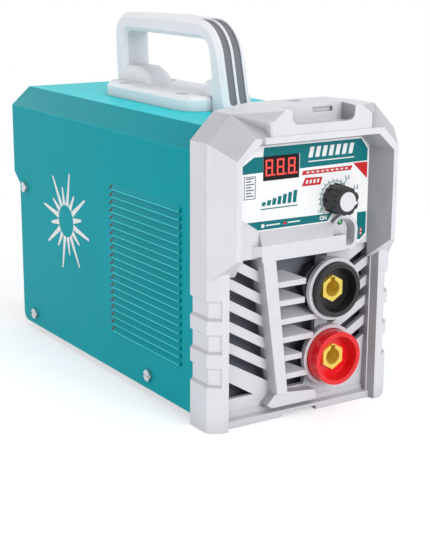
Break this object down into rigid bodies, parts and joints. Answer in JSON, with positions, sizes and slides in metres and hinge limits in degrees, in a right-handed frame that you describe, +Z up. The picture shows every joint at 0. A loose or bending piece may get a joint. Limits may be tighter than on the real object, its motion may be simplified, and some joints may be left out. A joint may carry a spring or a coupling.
{
  "type": "stick welding inverter",
  "caption": "Portable stick welding inverter: louvred box cover, moulded front bezel with grille, panel and twist-lock sockets, top carrying handle, rear fan.",
  "frame": {"origin": "centre of the bounding box's footprint, on the floor under the bezel and the rear feet", "axes": "+X to the right seen from the front, +Y towards the rear along the machine's length, +Z up; the control panel and sockets face -Y"},
  "size_m": [0.12, 0.2624, 0.2084],
  "materials": {
    "bezel_plastic": "moulded light grey, fine texture",
    "handle_plastic": "moulded light grey, fine texture",
    "groove_grey": "mid grey inlay",
    "cover_paint": "teal powder coat",
    "panel_paint": "dark grey powder coat",
    "zinc_sheet": "zinc plated sheet",
    "label_film": "printed teal film",
    "display_filter": "dark tinted filter",
    "display_red": "lit red bars",
    "knob_plastic": "black ribbed plastic",
    "knob_white": "white index",
    "knob_metal": "turned aluminium disc",
    "led_green": "green lamp lens",
    "socket_red": "red moulded insulator",
    "socket_black": "black moulded insulator",
    "brass": "turned brass",
    "nut_black": "black nylon",
    "screw_steel": "bright plated steel",
    "rubber": "black rubber",
    "black_plastic": "black moulded plastic",
    "guard_wire": "black coated steel",
    "board_green": "green circuit board",
    "sink_aluminium": "extruded aluminium",
    "ferrite": "dark ferrite",
    "copper": "bare copper",
    "capacitor_sleeve": "dark blue sleeve"
  },
  "bodies": {
    "chassis": {"base_plate": "zinc_sheet", "rear_feet": "rubber", "front_bezel": "bezel_plastic", "cover": "cover_paint", "rear_panel": "panel_paint", "cover_screws": "screw_steel", "bezel_top_screw": "screw_steel", "label_overlay": "label_film", "display_module": "display_filter", "display_digits": "display_red", "control_board": "board_green", "board_spacers": "nut_black", "potentiometer": "zinc_sheet", "power_led": "led_green", "positive_socket_shell": "socket_red", "positive_socket_insert": "brass", "positive_socket_nut": "nut_black", "negative_socket_shell": "socket_black", "negative_socket_insert": "brass", "negative_socket_nut": "nut_black", "handle_base": "handle_plastic", "handle_left_half": "handle_plastic", "handle_right_half": "handle_plastic", "handle_inlays": "groove_grey", "handle_screws": "screw_steel", "fan_frame": "black_plastic", "fan_guard": "guard_wire", "fan_screws": "screw_steel", "switch_housing": "black_plastic", "cable_gland": "black_plastic", "gland_nut": "nut_black", "dust_screen": "panel_paint", "main_board": "board_green", "board_standoffs": "zinc_sheet", "heatsink_left": "sink_aluminium", "heatsink_right": "sink_aluminium", "power_transistors": "black_plastic", "transformer_core": "ferrite", "transformer_winding": "copper", "output_choke": "ferrite", "bus_capacitors": "capacitor_sleeve", "bridge_rectifier": "black_plastic", "driver_board": "board_green", "busbar_positive": "copper", "busbar_negative": "copper", "stud_nuts": "zinc_sheet"},
    "knob": {"knob_body": "knob_plastic", "knob_pointer": "knob_white", "knob_cap": "knob_metal", "pot_shaft": "knob_metal"},
    "rocker": {"power_rocker": "black_plastic"},
    "fan": {"fan_rotor": "black_plastic"}
  },
  "joints": [
    {"name": "current_knob_turn", "type": "hinge", "parent": "chassis", "child": "knob", "pos_m": [0.0199, -0.121, 0.118], "axis": [0, -1, 0], "range_deg": [-38, 242]},
    {"name": "power_rocker_tilt", "type": "hinge", "parent": "chassis", "child": "rocker", "pos_m": [-0.024, 0.1161, 0.124], "axis": [-1, 0, 0], "range_deg": [0, 24]},
    {"name": "cooling_fan_spin", "type": "hinge", "parent": "chassis", "child": "fan", "pos_m": [0, 0.1039, 0.054], "axis": [0, -1, 0], "continuous": true}
  ]
}
